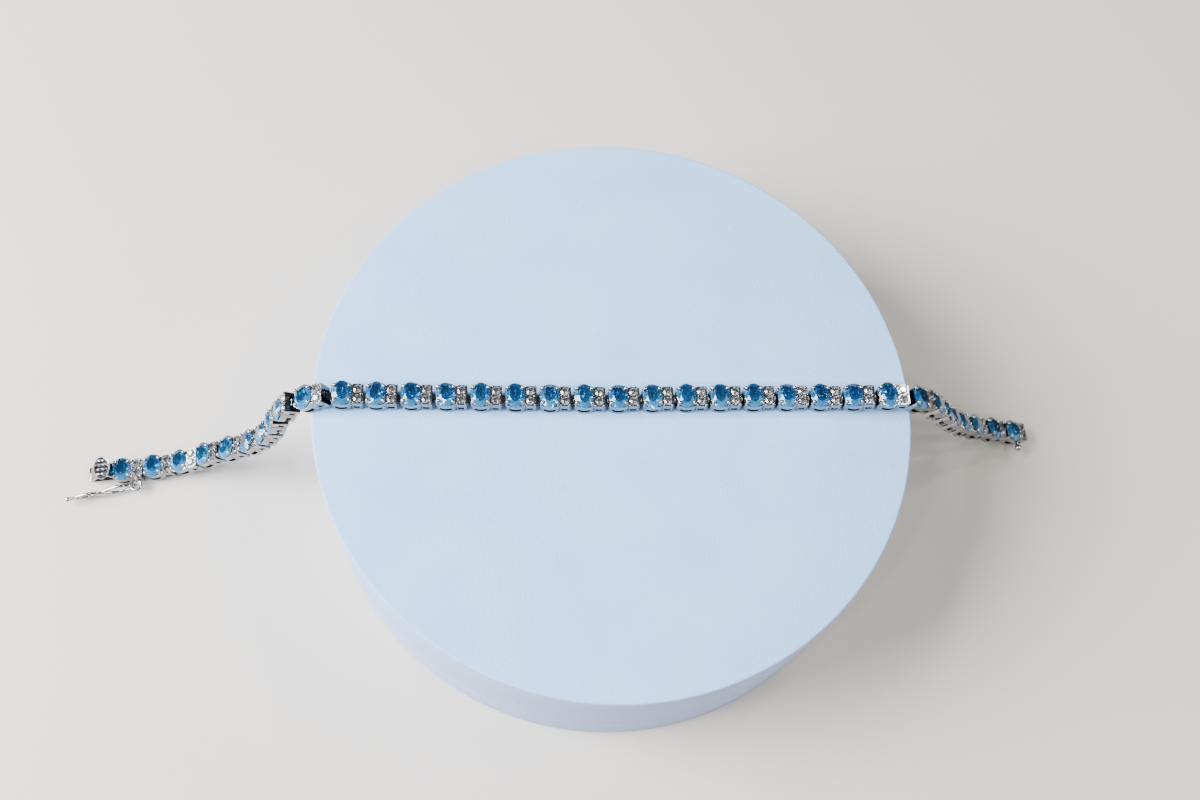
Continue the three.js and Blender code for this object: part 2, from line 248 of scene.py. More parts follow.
# %% [markdown]
# ## Silver
# The metal is sterling silver with a thin rhodium plate, cast, tumbled and polished. To the eye it is a
# bright, faintly blue-grey mirror that is never quite even: tumbling leaves soft ripples and wear leaves
# hairlines. Shade is painted into its colour: inside the baskets, on their end walls and on the hinges,
# where the gaps between links lie in shade, the silver is painted dark grey, and other faces get a lighter
# painted shade. A metallic Principled shader with a low roughness gives the mirror, and two noises give
# the ripples and the uneven polish. The painted shade follows the shape, so each face keeps its own share
# of it, and that is mixed into the colour.

# %% Rhodium-plated silver
POLISHED = "#bdbdbe"
# Painted shade: the dark grey that shaded faces are mixed towards.
PAINTED_SHADE_GREY = "#5f6063"
TUMBLE_RIPPLE = 0.9
RIPPLE_DEPTH = 0.06
HAIRLINE = 0.12
HAIRLINE_DEPTH = 0.01
SMOOTHEST, ROUGHEST = 0.07, 0.24
silver, tree, shader = start_material("rhodium_plated_silver", {"Metallic": 1.0})
where = add(tree, "ShaderNodeTexCoord").outputs["Object"]
# Each face's share of painted shade darkens the silver towards that grey.
tarnish = add(tree, "ShaderNodeAttribute", {"attribute_name": "tarnish"})
plated = add(tree, "ShaderNodeMixRGB", inputs={
    "Fac": tarnish.outputs["Fac"], "Color1": colour(POLISHED), "Color2": colour(PAINTED_SHADE_GREY)})
tree.links.new(plated.outputs["Color"], shader.inputs["Base Color"])
ripple = add(tree, "ShaderNodeTexNoise", inputs={"Vector": where, "Scale": 1 / (TUMBLE_RIPPLE * MM),
                                                 "Detail": 2.0})
hairline = add(tree, "ShaderNodeTexNoise", inputs={"Vector": where, "Scale": 1 / (HAIRLINE * MM),
                                                   "Detail": 3.0})
polish = add(tree, "ShaderNodeMapRange", inputs={
    "Value": hairline.outputs["Fac"], "From Min": 0.35, "From Max": 0.7,
    "To Min": SMOOTHEST, "To Max": ROUGHEST})
tree.links.new(polish.outputs["Result"], shader.inputs["Roughness"])
wave = add(tree, "ShaderNodeBump", inputs={"Height": ripple.outputs["Fac"], "Strength": 0.25,
                                           "Distance": RIPPLE_DEPTH * MM})
fine = add(tree, "ShaderNodeBump", inputs={"Height": hairline.outputs["Fac"], "Strength": 0.15,
                                           "Distance": HAIRLINE_DEPTH * MM,
                                           "Normal": wave.outputs["Normal"]})
tree.links.new(fine.outputs["Normal"], shader.inputs["Normal"])
print("made", silver.name)

# %% [markdown]
# ## Stones
# The oval stones are blue topaz, the small ones cubic zirconia, both cut and polished flat by flat.
# What shows is light that went in, bounced off the lower facets and came out again, so the stones are
# closed gems of clear material with each stone's own refractive index. Some facets look deep, because
# they mirror the dark room, and others flash. At this size a path tracer would need very many rays for
# the flashes, so each facet keeps a painted lightness of its own: painted flashes on some facets and
# painted dark reflections on others. It picks the colour, and a light facet also scatters a little of the
# light that falls on it. Natural stones differ too, so each instance carries a random tone.

# %% Blue and white stone
TOPAZ_IOR = 1.62
ZIRCONIA_IOR = 2.15
DEEP_BLUE = "#168fe2"
LIGHT_BLUE = "#72d0ff"
# Painted highlights and reflections: a facet's painted lightness sets its colour and, when light, lowers its
# transmission.
FACET_SHARE = 0.5
BLUE_GLINT_CLEARNESS = 1.0, 0.66
WHITE_GLINT_CLEARNESS = 1.0, 0.8
WHITE_GLINT_AND_SHADE = 0.55, 1.0
blue_stone, tree, shader = start_material("pale_blue_topaz", {
    "Roughness": 0.0, "IOR": TOPAZ_IOR})
tone = add(tree, "ShaderNodeAttribute", {"attribute_name": "tone"})
facet = add(tree, "ShaderNodeAttribute", {"attribute_name": "facet"})
lightness = add(tree, "ShaderNodeMix", inputs={
    "Factor": FACET_SHARE, "A": tone.outputs["Fac"], "B": facet.outputs["Fac"]})
shade = add(tree, "ShaderNodeMixRGB", inputs={
    "Fac": lightness.outputs[0], "Color1": colour(DEEP_BLUE), "Color2": colour(LIGHT_BLUE)})
tree.links.new(shade.outputs["Color"], shader.inputs["Base Color"])
glow = add(tree, "ShaderNodeMapRange", inputs={
    "Value": facet.outputs["Fac"], "To Min": BLUE_GLINT_CLEARNESS[0], "To Max": BLUE_GLINT_CLEARNESS[1]})
tree.links.new(glow.outputs["Result"], shader.inputs["Transmission Weight"])

white_stone, tree, shader = start_material("cubic_zirconia", {"Roughness": 0.0, "IOR": ZIRCONIA_IOR})
facet = add(tree, "ShaderNodeAttribute", {"attribute_name": "facet"})
clear = add(tree, "ShaderNodeMapRange", inputs={
    "Value": facet.outputs["Fac"], "To Min": WHITE_GLINT_AND_SHADE[0], "To Max": WHITE_GLINT_AND_SHADE[1]})
tree.links.new(clear.outputs["Result"], shader.inputs["Base Color"])
glow = add(tree, "ShaderNodeMapRange", inputs={
    "Value": facet.outputs["Fac"], "To Min": WHITE_GLINT_CLEARNESS[0], "To Max": WHITE_GLINT_CLEARNESS[1]})
tree.links.new(glow.outputs["Result"], shader.inputs["Transmission Weight"])
print("made", blue_stone.name, white_stone.name)

# %% [markdown]
# ## A cut stone
# A brilliant cut has a flat table, star and kite facets down to the girdle, and a pointed pavilion under
# it. Rings of points at set shares of the radius give these facets, and an oval stone is a round one
# stretched. The faces stay flat shaded, because their edges are what sparkles. The table keeps a low
# lightness, a painted dark reflection, and the other facets a random one from a fixed seed, painted
# flashes that are higher on the viewer's side of an oval.

# %% Brilliant cut by rings
CUT_FOLDS = 8
GIRDLE_STEPS = 4
STAR_OUT = 0.02
STAR_HEIGHT = 0.46
MAIN_SHARE = 0.42
MAIN_DEPTH = 0.62
OVAL_CUT = {"crown": 0.52, "girdle": 0.1, "pavilion": 1.35, "table": 0.58}
ROUND_CUT = {"crown": 0.24, "girdle": 0.04, "pavilion": 0.62, "table": 0.56}


def cut_stone(name, length, width, crown, girdle, pavilion, table):
    """A closed brilliant cut with the lower edge of its girdle at height 0."""
    bm = bmesh.new()

    def ring(count, share, height, offset=0.0):
        """Points round the stone at a share of its radius."""
        points = []
        for i in range(count):
            angle = 2 * math.pi * (i + offset) / count
            points.append(bm.verts.new((length / 2 * share * math.cos(angle),
                                        width / 2 * share * math.sin(angle), height)))
        return points

    around = CUT_FOLDS * GIRDLE_STEPS
    top = ring(CUT_FOLDS, table, girdle + crown)
    star = ring(CUT_FOLDS, (1 + table) / 2 + STAR_OUT, girdle + crown * STAR_HEIGHT, 0.5)
    upper = ring(around, 1.0, girdle)
    lower = ring(around, 1.0, 0.0)
    mains = ring(CUT_FOLDS, MAIN_SHARE, -pavilion * MAIN_DEPTH, 0.5)
    culet = bm.verts.new((0, 0, -pavilion))
    bm.faces.new(top)
    for i in range(CUT_FOLDS):
        after = (i + 1) % CUT_FOLDS
        first = i * GIRDLE_STEPS
        bm.faces.new((top[i], top[after], star[i]))
        bm.faces.new((top[after], star[i], upper[after * GIRDLE_STEPS], star[after]))
        bm.faces.new((culet, mains[i], lower[after * GIRDLE_STEPS], mains[after]))
        for j in range(first, first + GIRDLE_STEPS):
            bm.faces.new((star[i], upper[j], upper[(j + 1) % around]))
            bm.faces.new((mains[i], lower[j], lower[(j + 1) % around]))
    for j in range(around):
        after = (j + 1) % around
        bm.faces.new((upper[j], upper[after], lower[after], lower[j]))
    return finished_object(bm, name, smooth_below=None)


oval_stone = cut_stone("oval_stone", OVAL_LENGTH, OVAL_WIDTH, **OVAL_CUT)
round_stone = cut_stone("round_stone", ROUND_DIAMETER, ROUND_DIAMETER, **ROUND_CUT)
print("facets of the oval stone:", len(oval_stone.data.polygons))

# %% Painted lightness of each facet
TABLE_LIGHTNESS = 0.1
GLINT_RANGE = 0.9
GLINT_SEED = 21
LEVEL_NORMAL = 0.99
VIEWER_SIDE = 0.4
glints = random.Random(GLINT_SEED)


def mark_glints(stone, width, towards_viewer):
    """Keeps a painted lightness on each facet. The last value says how much lighter the near side is."""
    def lightness(centre, normal):
        """Low on the table, random on the others."""
        if normal.z > LEVEL_NORMAL:
            return TABLE_LIGHTNESS
        glint = glints.uniform(0.0, GLINT_RANGE) - towards_viewer * centre.y / (width / 2)
        return min(1.0, max(0.0, glint))
    mark_faces(stone, "facet", lightness)


mark_glints(oval_stone, OVAL_WIDTH, VIEWER_SIDE)
mark_glints(round_stone, ROUND_DIAMETER, 0.0)
values = [item.value for item in oval_stone.data.attributes["facet"].data]
print("mean lightness of the oval stone's facets:", round(sum(values) / len(values), 2))

# %% [markdown]
# ## The cast basket
# A link is a thin-walled basket: the wall bulges round the oval stone, draws in to a waist and runs
# straight along the pair of small stones, with a long slot under the oval and a short one under the
# pair. A plate closes it from below and carries painted shade, so that the slots look dark. It could be cut
# by booleans, but a band of quads with the slots left open and one Solidify is cleaner, because the inside
# of every slot is then made too and a Bevel can take off all the edges.

# %% Plan of the basket
BULGE = 1.925
WAIST = 1.42
PAIR_SIDE = 1.62
END_HALF = 1.22
SLOT = (0.62, 1.38)
OVAL_SLOT = (OVAL_X - 0.92, OVAL_X + 0.92)
PAIR_SLOT = (PAIR_X - 0.5, PAIR_X + 0.46)
POCKET_HALF = 0.82
POCKET_TOP = 1.75
HALF = LINK_LENGTH / 2
CORNER = 0.12
LEDGE = 0.06
BULGE_POWER = 0.75
PAIR_RISE = 0.22
PAIR_RISE_MIDDLE = 0.17
BULGE_STEPS = (0.5, 1.2, 1.42)


def half_width(x):
    """Half the basket's width at x."""
    share = (x - OVAL_X) / (OVAL_LENGTH / 2 + LEDGE)
    if share < 1:
        end = END_HALF if share < 0 else WAIST
        return end + (BULGE - end) * math.cos(share * math.pi / 2) ** BULGE_POWER
    rise = min(1.0, (x - OVAL_END - LEDGE) / PAIR_RISE)
    return WAIST + (PAIR_SIDE - WAIST) * math.sin(rise * math.pi / 2)


stations = [-HALF, OVAL_X, *OVAL_SLOT, OVAL_END + LEDGE, OVAL_END + PAIR_RISE_MIDDLE, *PAIR_SLOT, PAIR_X,
            HALF - CORNER]
stations = sorted(stations + [OVAL_X + way * step for step in BULGE_STEPS for way in (-1, 1)])
plan = [(x, half_width(x)) for x in stations]
plan += [(HALF, PAIR_SIDE - CORNER), (HALF, POCKET_HALF)]
plan += [(x, -y) for x, y in reversed(plan)]
plan += [(-HALF, -POCKET_HALF), (-HALF, POCKET_HALF)]
print("points round the basket:", len(plan))

# %% Wall, deck and their openings
LEVELS = [0.0, SLOT[0], SLOT[1], POCKET_TOP, DECK]
SLOT_LEVEL = LEVELS.index(SLOT[0])
BELOW_POCKET_TOP = LEVELS.index(POCKET_TOP)
FOOT_DRAW = 0.05
END_DRAW = 0.4
END_LINE = 0.01
SIDE_FROM = 1.3
TINY = 1e-6
WALL = 0.36
EDGE_WIDTH = 0.05
EDGE_ANGLE = 50
OVAL_SEAT = (OVAL_LENGTH / 2 - 0.15, OVAL_WIDTH / 2 - 0.17, 24)
ROUND_SEAT = (0.58, 0.58, 14)


def basket_shell():
    """The basket as one thin skin: wall with slots and hinge pockets, deck with seats, floor."""
    bm = bmesh.new()
    rows = []
    for z in LEVELS:
        draw = 1 - FOOT_DRAW * (1 - z / DECK)
        rows.append([bm.verts.new((x * (1 - (1 - draw) * END_DRAW), y * draw, z)) for x, y in plan])
    count = len(plan)
    for level in range(len(LEVELS) - 1):
        for i in range(count):
            after = (i + 1) % count
            (x0, y0), (x1, y1) = plan[i], plan[after]
            low, high = min(x0, x1) + TINY, max(x0, x1) - TINY
            side = min(abs(y0), abs(y1)) > SIDE_FROM
            slotted = side and level == SLOT_LEVEL and any(
                low >= a and high <= b for a, b in (OVAL_SLOT, PAIR_SLOT))
            below = level < BELOW_POCKET_TOP
            front = below and max(abs(y0), abs(y1)) < POCKET_HALF + TINY and low > HALF - END_LINE
            back = below and level > 0 and abs(y0) < SIDE_FROM and high < -HALF + END_LINE
            if not (slotted or front or back):
                a, b = rows[level], rows[level + 1]
                bm.faces.new((a[i], a[after], b[after], b[i]))
    top = rows[-1]
    edges = [bm.edges.get((top[i], top[(i + 1) % count])) for i in range(count)]
    holes = [(OVAL_X, 0, *OVAL_SEAT)] + [(PAIR_X, side * PAIR_Y, *ROUND_SEAT) for side in (-1, 1)]
    for x, y, length, width, sides in holes:
        loop = [bm.verts.new((x + length * math.cos(2 * math.pi * i / sides),
                              y + width * math.sin(2 * math.pi * i / sides), DECK))
                for i in range(sides)]
        edges += [bm.edges.new((loop[i], loop[(i + 1) % sides])) for i in range(sides)]
    bmesh.ops.triangle_fill(bm, use_beauty=True, edges=edges)
    floor = rows[0]
    bm.faces.new(floor)
    return finished_object(bm, "basket")


basket = basket_shell()
wall = basket.modifiers.new("wall", "SOLIDIFY")
wall.thickness = WALL * MM
wall.offset = -1
wall.use_even_offset = True
edge = basket.modifiers.new("edge", "BEVEL")
edge.width = EDGE_WIDTH * MM
edge.segments = 1
edge.limit_method = "ANGLE"
edge.angle_limit = math.radians(EDGE_ANGLE)
plain_mesh(basket)
print("faces of one basket:", len(basket.data.polygons))

# %% Painted shade of the basket
# Shares of painted shade on the side walls and the deck; the end walls, floor and inside take it in full.
WALL_PAINTED_SHADE = 0.5
DECK_PAINTED_SHADE = 0.35
END_DEPTH = 0.08
END_FACING = 0.6
LEVEL_FACING = 0.5
BELOW_DECK = 0.1


def basket_painted_shade(centre, normal):
    """Painted shade: full on the end walls, the floor and all that is inside, less on the walls and the
    deck.
    """
    if abs(centre.x) > HALF - END_DEPTH and abs(normal.x) > END_FACING:
        return 1.0
    inner = abs(centre.y) < half_width(min(centre.x, HALF)) - WALL / 2 and normal.y * centre.y < 0
    if centre.z < DECK - BELOW_DECK and (inner or abs(normal.z) > LEVEL_FACING):
        return 1.0
    return DECK_PAINTED_SHADE if normal.z > LEVEL_FACING else WALL_PAINTED_SHADE


mark_faces(basket, "tarnish", basket_painted_shade)
print("dull faces:", sum(item.value == 1.0 for item in basket.data.attributes["tarnish"].data))

# %% [markdown]
# ## Prongs and beads
# Four claws hold the oval stone. Each stands outside the girdle, leans in over the crown and ends in a
# rounded tip, filed so that it doesn't catch on cloth. The pair is held by small beads that a graver
# raised from the plate: two between the stones and four at the corners. These are repeated hundreds of
# times, so each has few faces.

# %% Claws round the oval and beads round the pair
CLAW_ANGLE = math.radians(37)
CLAW_OUT = 0.12
CLAW_LEAN = 0.2
CLAW_ROOT = 0.9
CLAW_TOP = 0.44
CLAW_BEND = (0.15, 0.2)
CLAW_RADII = (0.19, 0.2)
CLAW_SIDES = 8
TIP = {"radius": 0.31, "flat": 0.88, "sides": 12, "rings": 7}
SMALL_BEAD = {"flat": 1.0, "sides": 8, "rings": 5}
MIDDLE_BEAD_RADIUS = 0.2
CORNER_BEAD_RADIUS = 0.16
CORNER_BEAD_INSET = 0.2
BEAD_RISE = 0.1
BEAD_INSET = 0.06
MIDDLE_BEAD_SHARE, CORNER_BEAD_SHARE = 0.9, 0.96


def claws():
    """Four claws, each an upright from the wall and a leaning end with a rounded tip."""
    bm = bmesh.new()
    for along in (-1, 1):
        for side in (-1, 1):
            edge_x = along * OVAL_LENGTH / 2 * math.cos(CLAW_ANGLE)
            edge_y = side * OVAL_WIDTH / 2 * math.sin(CLAW_ANGLE)
            out = Vector((edge_x / OVAL_LENGTH ** 2, edge_y / OVAL_WIDTH ** 2, 0)).normalized()
            girdle = Vector((OVAL_X + edge_x, edge_y, DECK)) + out * CLAW_OUT
            tip = girdle - out * CLAW_LEAN + Vector((0, 0, CLAW_TOP))
            upright_end = girdle + Vector((0, 0, CLAW_BEND[1]))
            tube(bm, girdle - Vector((0, 0, CLAW_ROOT)), upright_end, CLAW_RADII[0], CLAW_SIDES)
            tube(bm, girdle + Vector((0, 0, CLAW_BEND[0])), tip, CLAW_RADII[1], CLAW_SIDES)
            bead(bm, tip, **TIP)
    return finished_object(bm, "claws")


def pair_beads():
    """Six beads round the pair, three on each side along the link."""
    bm = bmesh.new()
    reach = ROUND_DIAMETER / 2 - BEAD_INSET
    corner_y = PAIR_SIDE - CORNER_BEAD_INSET
    row = [(0, MIDDLE_BEAD_RADIUS, MIDDLE_BEAD_SHARE)]
    row += [(y, CORNER_BEAD_RADIUS, CORNER_BEAD_SHARE) for y in (corner_y, -corner_y)]
    for along in (-1, 1):
        for y, radius, share in row:
            bead(bm, (PAIR_X + along * reach * share, y, DECK + BEAD_RISE), radius, **SMALL_BEAD)
    return finished_object(bm, "pair_beads")


claw_set = claws()
bead_set = pair_beads()
print("faces:", len(claw_set.data.polygons), len(bead_set.data.polygons))

# %% [markdown]
# ## Hinges
# A lug at the back of each link reaches into the link before and has an eye round its cross pin, as on
# a watch strap. The lug is a flat plate with a round end, so its outline is drawn once and extruded.

# %% Lug and cross pin
PIN_RADIUS = 0.3
EYE_HOLE = PIN_RADIUS + 0.25
EYE_RADIUS = EYE_HOLE + 0.33
LUG_WIDTH = 1.0
LUG_HALF_HEIGHT = 0.4
LUG_ROOT_X = -HALF + 0.3
LUG_STEPS = 16
HOLE_STEPS = 14
PIN_HALF = 1.45
PIN_SIDES = 12
HINGE_PAINTED_SHADE = 0.85


def lug_plate():
    """A plate across the link with a round end and an eye."""
    eye_x = PAIR_X - PITCH
    shoulder = math.asin(LUG_HALF_HEIGHT / EYE_RADIUS)
    turns = [shoulder + (2 * math.pi - 2 * shoulder) * i / LUG_STEPS for i in range(LUG_STEPS + 1)]
    outline = [(eye_x + EYE_RADIUS * math.cos(a), EYE_RADIUS * math.sin(a)) for a in turns]
    outline += [(LUG_ROOT_X, -LUG_HALF_HEIGHT), (LUG_ROOT_X, LUG_HALF_HEIGHT)]
    turns = [2 * math.pi * i / HOLE_STEPS for i in range(HOLE_STEPS)]
    hole = [(eye_x + EYE_HOLE * math.cos(a), EYE_HOLE * math.sin(a)) for a in turns]
    bm = bmesh.new()
    edges = []
    for loop in (outline, hole):
        points = [bm.verts.new((x, -LUG_WIDTH / 2, PIN_HEIGHT + z)) for x, z in loop]
        edges += [bm.edges.new((points[i], points[(i + 1) % len(points)])) for i in range(len(points))]
    made = bmesh.ops.triangle_fill(bm, use_beauty=True, edges=edges)
    faces = [item for item in made["geom"] if isinstance(item, bmesh.types.BMFace)]
    grown = bmesh.ops.extrude_face_region(bm, geom=faces)
    moved = [item for item in grown["geom"] if isinstance(item, bmesh.types.BMVert)]
    bmesh.ops.translate(bm, vec=(0, LUG_WIDTH, 0), verts=moved)
    return finished_object(bm, "lug")


def pin_bar():
    """The cross pin, from wall to wall."""
    bm = bmesh.new()
    tube(bm, (PAIR_X, -PIN_HALF, PIN_HEIGHT), (PAIR_X, PIN_HALF, PIN_HEIGHT), PIN_RADIUS, PIN_SIDES)
    return finished_object(bm, "pin")


lug = lug_plate()
pin = pin_bar()
# The lugs and pins lie in the shaded gaps between links, so they carry painted shade.
for hinge_part in (lug, pin):
    mark_faces(hinge_part, "tarnish", lambda centre, normal: HINGE_PAINTED_SHADE)
print("faces:", len(lug.data.polygons), len(pin.data.polygons))

# %% [markdown]
# ## Setting a part on every link
# A point for each link carries the link's turn as a quaternion. The tree sets a copy of one object on
# each point, leans it a little at random, as a stone set by hand leans, gives it a random tone from the
# same fixed seed, makes the copies real and sets the material. The same tree serves the baskets, claws,
# lugs, pins and stones, and metal gets no lean.

# %% The tree that repeats a part along the chain
repeat = bpy.data.node_groups.new("repeat_along_chain", "GeometryNodeTree")
repeat.interface.new_socket("Links", in_out="INPUT", socket_type="NodeSocketGeometry")
repeat.interface.new_socket("Part", in_out="INPUT", socket_type="NodeSocketObject")
repeat.interface.new_socket("Material", in_out="INPUT", socket_type="NodeSocketMaterial")
repeat.interface.new_socket("Seed", in_out="INPUT", socket_type="NodeSocketInt")
repeat.interface.new_socket("Wobble", in_out="INPUT", socket_type="NodeSocketFloat")
repeat.interface.new_socket("Chain", in_out="OUTPUT", socket_type="NodeSocketGeometry")
given = add(repeat, "NodeGroupInput").outputs
part = add(repeat, "GeometryNodeObjectInfo", inputs={"Object": given["Part"]})
turn = add(repeat, "GeometryNodeInputNamedAttribute", {"data_type": "QUATERNION"}, {"Name": "turn"})
placed = add(repeat, "GeometryNodeInstanceOnPoints", inputs={
    "Points": given["Links"], "Instance": part.outputs["Geometry"],
    "Rotation": turn.outputs["Attribute"]})
lean = add(repeat, "FunctionNodeRandomValue", {"data_type": "FLOAT_VECTOR"}, {"Seed": given["Seed"]})
lean_out = next(s for s in lean.outputs if s.type == "VECTOR" and s.enabled)
centred = add(repeat, "ShaderNodeVectorMath", {"operation": "SUBTRACT"}, {0: lean_out, 1: (0.5, 0.5, 0.5)})
wobble = add(repeat, "ShaderNodeVectorMath", {"operation": "SCALE"}, {
    0: centred.outputs[0], "Scale": given["Wobble"]})
leaning = add(repeat, "GeometryNodeRotateInstances", inputs={
    "Instances": placed.outputs["Instances"], "Rotation": wobble.outputs[0]})
chance = add(repeat, "FunctionNodeRandomValue", {"data_type": "FLOAT"}, {"Seed": given["Seed"]})
chance_out = next(s for s in chance.outputs if s.type == "VALUE" and s.enabled)
toned = add(repeat, "GeometryNodeStoreNamedAttribute", {"data_type": "FLOAT", "domain": "INSTANCE"}, {
    "Geometry": leaning.outputs["Instances"], "Name": "tone", "Value": chance_out})
real = add(repeat, "GeometryNodeRealizeInstances", inputs={"Geometry": toned.outputs["Geometry"]})
coated = add(repeat, "GeometryNodeSetMaterial", inputs={
    "Geometry": real.outputs["Geometry"], "Material": given["Material"]})
add(repeat, "NodeGroupOutput", inputs={"Chain": coated.outputs["Geometry"]})

print("nodes in the tree:", len(repeat.nodes))

# %% Copies along the chain
METAL_SEED = 7


def along_chain(name, part, material, links, shift=(0, 0, 0), seed=METAL_SEED,
                smooth_below=SMOOTH_BELOW, wobble=0.0):
    """One mesh with a copy of the part on each of those links, moved by shift in the link."""
    mesh = bpy.data.meshes.new(name)
    mesh.from_pydata([(place @ Vector(shift)) * MM for place in links], [], [])
    turns = mesh.attributes.new("turn", "QUATERNION", "POINT")
    turns.data.foreach_set("value", [v for place in links for v in place.to_quaternion()])
    made = bpy.data.objects.new(name, mesh)
    bpy.context.scene.collection.objects.link(made)
    modifier = made.modifiers.new("repeat", "NODES")
    modifier.node_group = repeat
    values = {"Part": part, "Material": material, "Seed": seed, "Wobble": math.radians(wobble)}
    for item in repeat.interface.items_tree:
        if item.in_out == "INPUT" and item.name in values:
            modifier[item.identifier] = values[item.name]
    return plain_mesh(made, smooth_below)


def joined(name, objects):
    """Several plain objects become one."""
    with bpy.context.temp_override(active_object=objects[0], object=objects[0],
                                   selected_objects=objects, selected_editable_objects=objects):
        bpy.ops.object.join()
    objects[0].name = name
    objects[0].data.name = name
    return objects[0]


# %% Metal of the chain
chain_metal = joined("chain_metal", [
    along_chain("baskets", basket, silver, link_places),
    along_chain("lugs", lug, silver, link_places[1:]),
    along_chain("cross_pins", pin, silver, link_places[:-1]),
])
chain_claws = joined("chain_claws", [
    along_chain("oval_claws", claw_set, silver, link_places),
    along_chain("small_beads", bead_set, silver, link_places),
])
print("metal faces:", len(chain_metal.data.polygons), len(chain_claws.data.polygons))

# %% Stones of the chain
STONE_LEAN = 11
ROUND_RISE = 0.02
OVAL_SEED, NEAR_SEED, FAR_SEED = 11, 12, 13


def stones_along_chain(name, stone, material, shift, seed):
    """A stone on every link, flat shaded and leaning a little."""
    return along_chain(name, stone, material, link_places, shift, seed, None, STONE_LEAN)


oval_stones = stones_along_chain("oval_stones", oval_stone, blue_stone, (OVAL_X, 0, DECK), OVAL_SEED)
round_stones = joined("round_stones", [
    stones_along_chain(name, round_stone, white_stone, (PAIR_X, y, DECK + ROUND_RISE), seed)
    for name, y, seed in (("near_stones", -PAIR_Y, NEAR_SEED), ("far_stones", PAIR_Y, FAR_SEED))])
print("stone faces:", len(oval_stones.data.polygons), len(round_stones.data.polygons))

# %% [markdown]
# ## Clasp
# The tongue is a strip of springy sheet: a flat plate soldered to the first link, folded at its tip into
# a leaf that rises and carries an oval thumb piece. Sheet of one thickness along a bent line is a strip
# of faces with Solidify, and its edges get a small bevel. The flats of the strip carry painted shade, so
# they are darker than its edges. The thumb piece has a raised rim and rows of small teeth for grip, and the
# recess between the teeth carries painted shade.

# %% Tongue and leaf
TONGUE_OUT = 4.0
TONGUE_TIP = -HALF - TONGUE_OUT
TONGUE_Z = 0.75
TONGUE_ROOT_X = -HALF + 0.3
TONGUE_HALF = 1.2
CREST_X = TONGUE_TIP + 2.75
CREST_Z = TONGUE_Z + 3.2
SHEET = 0.34
SHEET_EDGE = 0.06
FOLD_CENTRE = (TONGUE_TIP + 0.36, TONGUE_Z + 0.2)
FOLD_LENGTH = 0.3
FOLD_RADIUS = 0.2
FOLD_STEPS = 6
# Along and up from the crest
LEAF = [(-0.2, -0.45), (0.0, -0.3), (0.2, -0.38), (1.15, -1.62)]
TONGUE_PAINTED_SHADE = 0.7
SIDE_FACING = 0.5


def bent_sheet(name, line, half, thickness):
    """Sheet metal along a line of (x, z) points, between two edges in Y."""
    bm = bmesh.new()
    near = [bm.verts.new((x, -half, z)) for x, z in line]
    far = [bm.verts.new((x, half, z)) for x, z in line]
    for i in range(len(line) - 1):
        bm.faces.new((near[i], near[i + 1], far[i + 1], far[i]))
    made = finished_object(bm, name)
    sheet = made.modifiers.new("sheet", "SOLIDIFY")
    sheet.thickness = thickness * MM
    sheet.offset = 0
    sheet.use_even_offset = True
    edge = made.modifiers.new("edge", "BEVEL")
    edge.width = SHEET_EDGE * MM
    edge.segments = 2
    edge.limit_method = "ANGLE"
    return plain_mesh(made)


fold = [(FOLD_CENTRE[0] - FOLD_LENGTH * math.sin(a), FOLD_CENTRE[1] - FOLD_RADIUS * math.cos(a))
        for a in [math.pi * i / FOLD_STEPS for i in range(FOLD_STEPS + 1)]]
leaf = [(CREST_X + along, CREST_Z + up) for along, up in LEAF]
tongue = bent_sheet("tongue", [(TONGUE_ROOT_X, TONGUE_Z)] + fold + leaf, TONGUE_HALF, SHEET)
# Painted shade on the flats of the strip; its edges stay bright.
mark_faces(tongue, "tarnish",
           lambda centre, normal: TONGUE_PAINTED_SHADE if abs(normal.y) < SIDE_FACING else 0.0)
print("faces of the tongue:", len(tongue.data.polygons))

# %% Thumb piece with filed teeth
THUMB_LENGTH = 2.6
THUMB_WIDTH = 3.9
THUMB_STEPS = 40
# Share of the oval, and height over the crest
THUMB_PROFILE = [(0.86, -0.35), (1.0, -0.15), (1.0, 0.22), (0.93, 0.34), (0.84, 0.35), (0.8, 0.2)]
RIM_SHARE = 0.84
RIBS = 4
TEETH = 3
TOOTH_MIDDLE = 0.34
TOOTH_SHARES = (0.5, 0.32)
TOOTH_HEIGHT = 0.44
TOOTH_RADII = (1.41, 0.3)
UPWARD = 0.9
RECESS_TOP = CREST_Z + 0.3


